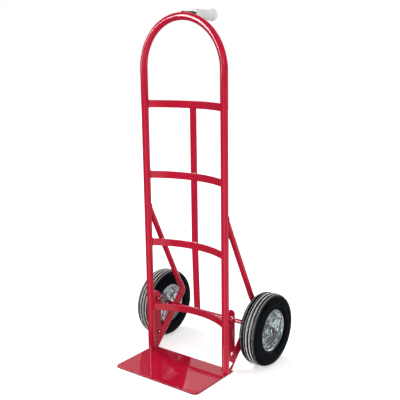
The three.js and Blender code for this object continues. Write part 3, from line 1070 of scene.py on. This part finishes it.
def axle_bar():
    """Through axle with chamfered ends, under the same enamel as the frame."""
    chamfer = 0.8 * MM
    section = [(POLE, axle_lo.x), (AXLE_R - chamfer, axle_lo.x), (AXLE_R, axle_lo.x + chamfer),
               (AXLE_R, axle_hi.x - chamfer), (AXLE_R - chamfer, axle_hi.x), (POLE, axle_hi.x)]
    skin = turned(section, 48)
    ends = (0, 1, len(section) - 3, len(section) - 2)
    obj = add_mesh("through_axle", [skin], RED, "frame", sharp_deg=30,
                   accent=(AXLE_END, lambda index: index % len(section) in ends))
    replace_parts(obj, "axle")


def tyre_section():
    """Half of the tyre's section from the bead to the middle of the tread, in millimetres, in
    stretches, and the places in the tread where a groove's wall starts."""
    sidewall = [(68.4, 22.2), (69.6, 24.4), (73.6, 26.0), (73.6, 29.0), (76.0, 32.6), (79.4, 35.4),
                (84.0, 36.9), (90.0, 37.1), (94.4, 37.1), (95.0, 36.5), (95.6, 36.5), (96.2, 37.0),
                (101.0, 36.8), (108.0, 35.9), (114.0, 34.4), (118.6, 32.6), (119.8, 31.8)]
    lip = [(120.6, 30.6), (121.0, 29.9)]
    notched = [(122.8, 27.0), (123.7, 25.6), (124.5, 24.2), (125.1, 22.8), (125.5, 21.4)]
    tread = [(125.8, 20.6), (126.2, 18.0)]
    depth, half, rim = 3.2, 1.7, 0.9
    walls = []
    for groove in reversed(TREAD_GROOVES):
        top = WHEEL_R / MM - 0.0037 * groove ** 2  # the tread is slightly crowned
        wall = [(top, half + rim), (top - 0.2, half), (top - 1.6, half - 0.8), (top - depth, half - 1.1)]
        walls.append(len(tread))
        tread += [(r, groove + x) for r, x in wall]
        if groove > 0:
            walls.append(len(tread) + 1)
            tread += [(r, groove - x) for r, x in reversed(wall)]
    return sidewall, lip, notched, tread, walls


def tyre(tag, side):
    """Solid rubber tyre: ribbed tread, notched shoulders and plain sidewalls."""
    sidewall, lip, notched, tread, walls = tyre_section()
    half = sidewall + lip + notched + tread
    first_notch = len(sidewall) + len(lip)
    band = range(first_notch, first_notch + len(notched))
    section = [(r * MM, x * MM) for r, x in half]
    section += [(r * MM, -x * MM) for r, x in reversed(half)]
    last = len(section) - 1
    depth = 1.6 * MM
    steps = 4  # steps of the turned surface for each notch

    def notches(r, x, angle, j):
        """Slanted notches in the shoulders, cut for half of each pitch."""
        near = min(j, last - j)
        if near in band[1:-1]:
            phase = angle * SHOULDER_NOTCHES / (2 * math.pi) + (near - first_notch) / steps
            if (phase + 0.01) % 1 < 0.5:
                return r - depth, x - math.copysign(0.4 * depth, x)
        return r, x

    def chalk_and_highlight(index):
        """Chalk, with a painted highlight on the groove rims, lies between the notches and on the
        walls of the grooves, but it is rubbed off the right-hand tyre's inner groove."""
        spoke, j = divmod(index, len(section))
        near = min(j, last - 1 - j)
        if near in band[:-1]:
            return (spoke + near - first_notch) % steps >= steps // 2
        at = near - first_notch - len(notched)
        rubbed = side > 0 and j > near and at < walls[-1] - 2
        return not rubbed and any(at in (wall, wall + 1) for wall in walls)

    skin = turned(section, SHOULDER_NOTCHES * steps, side * WHEEL_X, side, notches)
    obj = add_mesh(f"ribbed_tyre_{tag}", [skin], RUBBER, f"{tag}_wheel", sharp_deg=45,
                   accent=(CHALK_AND_HIGHLIGHT, chalk_and_highlight))
    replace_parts(obj, f"tyre_{tag}")


# Front of a rim half in millimetres, from the hub to the lip: radius, distance from the
# wheel's middle, and how much the sheet there stands along the axle, from 0 to 1.
RIM_FACE = [
    (13.8, 16.5, 0), (17.5, 16.6, 0), (20.2, 15.6, 0.2), (22.2, 13.6, 0.5), (31, 6.6, 0.6),
    (33.4, 4.6, 0.4), (36, 3.6, 0), (51, 1.95, 0), (54.4, 2.7, 0.1), (60, 6.9, 0.4),
    (63.4, 9.4, 0.6), (64.9, 11.9, 1), (65.4, 15, 1), (66.4, 22, 1), (67.2, 24.6, 0.9),
    (69.2, 26.8, 0.6), (71.4, 27.7, 0.3), (72.6, 27.4, 0.2),
]
RIM_SHEET = 1.5
LOBE_HEIGHT = 4.2
LOBE_COUNT = 4


def rim_half(tag, side, end):
    """Stamped half of a rim: hub collar, four raised lobes between the rivets, barrel and lip."""
    outward = side if end == "outer" else -side
    face = [(r, x) for r, x, _ in RIM_FACE]
    back = [(r + 0.9 * RIM_SHEET * along, x - RIM_SHEET * (1 - 0.45 * along))
            for r, x, along in reversed(RIM_FACE)]
    section = [(r * MM, x * MM) for r, x in face + back]

    def stamped(r, x, angle, j):
        """Lobes raised from the disc, with soft edges on all sides."""
        across = min(max((math.cos(LOBE_COUNT * angle) + 0.25) / 0.4, 0), 1)
        inner = min(max((r / MM - 23) / 3.5, 0), 1)
        outer = min(max((61 - r / MM) / 4, 0), 1)
        rise = across * across * (3 - 2 * across) * inner * outer
        return r, x + LOBE_HEIGHT * MM * rise

    dense = refine(section, 2.2 * MM)
    skin = turned(dense, 160, side * WHEEL_X, outward, stamped)
    obj = add_mesh(f"stamped_rim_{end}_{tag}", [skin], ZINC, f"{tag}_wheel", sharp_deg=50)
    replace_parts(obj, f"rim_{end}_{tag}")


def rivets(tag, side):
    """Dome-headed rivets that hold the two halves of a rim together."""
    seat, edge, height = 2.2 * MM, 0.3 * MM, 2.5 * MM
    half = [(RIVET_SHANK_R, seat), (RIVET_HEAD_R - edge, seat)]
    half += [(RIVET_HEAD_R * math.cos(a), seat + edge + height * math.sin(a))
             for a in (math.radians(90 * i / 6) for i in range(6))]
    half.append((POLE, seat + edge + height))
    section = half + [(r, -x) for r, x in reversed(half)]
    for number in range(1, 5):
        node = f"rim_rivet_{number}_{tag}"
        lo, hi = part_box(node)
        centre = (lo + hi) / 2
        verts, faces = turned(section, 24, centre.x, side)
        moved = [v + Vector((0, centre.y - AXLE_Y, centre.z - AXLE_Z)) for v in verts]
        name = f"domed_rivet_{number}_{tag}"
        obj = add_mesh(name, [(moved, faces)], ZINC, f"{tag}_wheel")
        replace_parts(obj, node)


def turned_piece(name, node, section, material, body, side, corner):
    """Turned piece in the place of a CAD ring, given as (radius, offset) about the ring's middle."""
    lo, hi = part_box(node)
    x = (lo.x + hi.x) / 2
    skin = turned(round_corners(section, corner, 3), 64, x, side)
    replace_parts(add_mesh(name, [skin], material, body, sharp_deg=35), node)


def hub_parts(tag, side):
    """Hub tube, flanged bushes, washers and retaining rings of one wheel."""
    body = f"{tag}_wheel"
    lo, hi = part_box(f"hub_tube_{tag}")
    half = (hi.x - lo.x) / 2
    section = [(HUB_BORE_R, -half), (HUB_R, -half), (HUB_R, half), (HUB_BORE_R, half)]
    turned_piece(f"wheel_hub_{tag}", f"hub_tube_{tag}", section, ZINC, body, side, 0.5 * MM)
    bore = AXLE_R + RUNNING_FIT
    for end, outward in (("outer", side), ("inner", -side)):
        lo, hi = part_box(f"bush_{end}_{tag}")
        half = (hi.x - lo.x) / 2
        flange_r = (hi.z - lo.z) / 2
        section = [(bore, -half), (HUB_BORE_R - FIT, -half), (HUB_BORE_R - FIT, half - BUSH_FLANGE),
                   (flange_r, half - BUSH_FLANGE), (flange_r, half), (bore, half)]
        turned_piece(f"flanged_bush_{end}_{tag}", f"bush_{end}_{tag}", section, NYLON, body,
                     outward, 0.3 * MM)
        for piece, node, drop in (("flat_washer", "washer", 0), ("push_ring", "retaining_ring", RING_DOME)):
            lo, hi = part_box(f"{node}_{end}_{tag}")
            half = (hi.x - lo.x) / 2
            radius = (hi.z - lo.z) / 2
            section = [(bore, -half), (radius, -half), (radius, half - drop),
                       (bore + 0.6 * MM, half), (bore, half)]
            turned_piece(f"{piece}_{end}_{tag}", f"{node}_{end}_{tag}", section, ZINC, "frame",
                         outward, 0.35 * MM)


loop_tube()
for number in range(1, 5):
    crossbar(number)
strap()
toe_plate()
frame_welds()
handle_tube()
handle_weld()
grip()
axle_bar()
for tag, side in SIDES.items():
    side_plate(tag, side)
    brace(tag, side)
    tyre(tag, side)
    for end in ("outer", "inner"):
        rim_half(tag, side, end)
    rivets(tag, side)
    hub_parts(tag, side)
